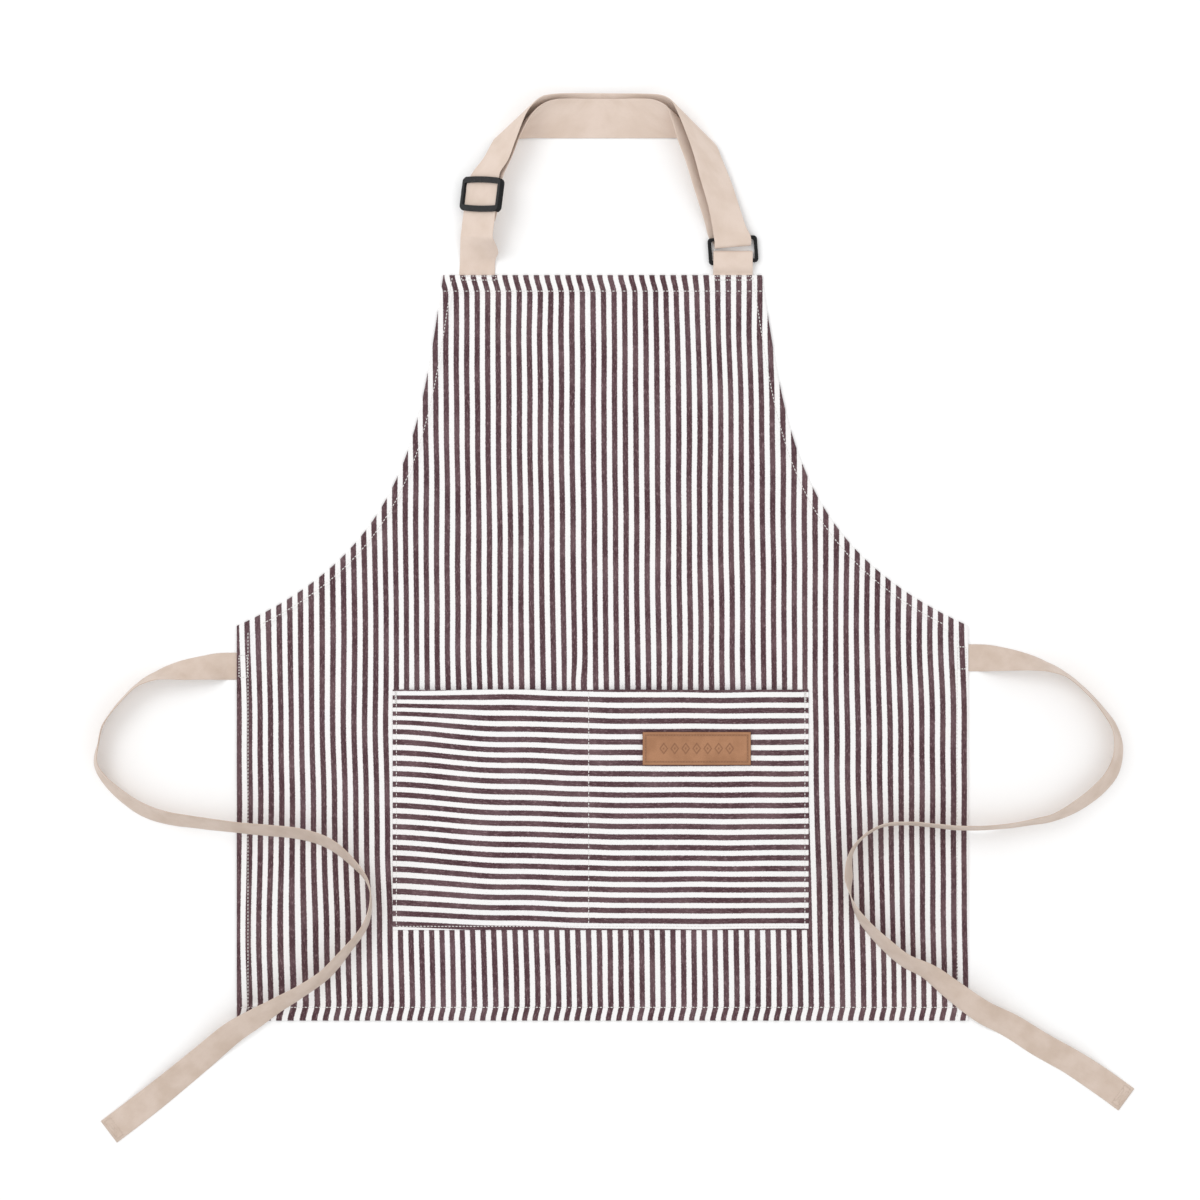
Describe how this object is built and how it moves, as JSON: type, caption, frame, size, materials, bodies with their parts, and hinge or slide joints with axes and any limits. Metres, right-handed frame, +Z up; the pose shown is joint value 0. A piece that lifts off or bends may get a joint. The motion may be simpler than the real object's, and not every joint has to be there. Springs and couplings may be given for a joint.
{
  "type": "bib apron",
  "caption": "Striped cotton bib apron laid flat, with divided front pocket, leather label, adjustable neck strap with slider and ring, and waist ties.",
  "frame": {"origin": "centre of the apron's footprint on the surface it lies on, waist ties left out", "axes": "+Z up out of the front face, +Y towards the neck strap, +X to the wearer's left hand when worn"},
  "size_m": [0.9657, 0.9756, 0.033],
  "materials": {
    "striped_cotton": "plain woven cotton, 5 mm dark plum and white stripes",
    "webbing": "beige cotton webbing, fine twill",
    "tape": "beige cotton tape, fine twill",
    "label_leather": "tan leather, smooth with light grain and an embossed row of lozenges",
    "black_plastic": "moulded black acetal, satin",
    "white_thread": "white sewing thread",
    "tan_thread": "tan sewing thread",
    "beige_thread": "beige sewing thread"
  },
  "bodies": {
    "apron": {"apron_panel": "striped_cotton", "bib_hem_stitching": "white_thread", "bottom_hem_stitching": "white_thread", "left_side_hem_stitching": "white_thread", "right_side_hem_stitching": "white_thread", "left_armhole_stitching": "white_thread", "right_armhole_stitching": "white_thread", "pocket_panel": "striped_cotton", "pocket_edge_stitching": "white_thread", "pocket_divider_stitching": "white_thread", "left_pocket_tack": "white_thread", "right_pocket_tack": "white_thread", "leather_label": "label_leather", "label_stitching": "tan_thread", "neck_strap": "webbing", "strap_root_stitching": "white_thread", "tab_root_stitching": "white_thread", "ring_tab": "webbing", "left_waist_tie": "tape", "left_tie_root_stitching": "white_thread", "left_tie_end_stitching": "beige_thread", "right_waist_tie": "tape", "right_tie_root_stitching": "white_thread", "right_tie_end_stitching": "beige_thread"},
    "slider": {"strap_slider": "black_plastic"},
    "ring": {"strap_ring": "black_plastic"}
  },
  "joints": [
    {"name": "slider_slide", "type": "slide", "parent": "apron", "child": "slider", "axis": [0.1219, 0.9925, 0], "range_m": [-0.018, 0.003]},
    {"name": "ring_swing", "type": "hinge", "parent": "apron", "child": "ring", "pos_m": [0.12185, 0.27413, 0.0029], "axis": [0.9976, 0.0698, 0], "range_deg": [0, 8]}
  ]
}
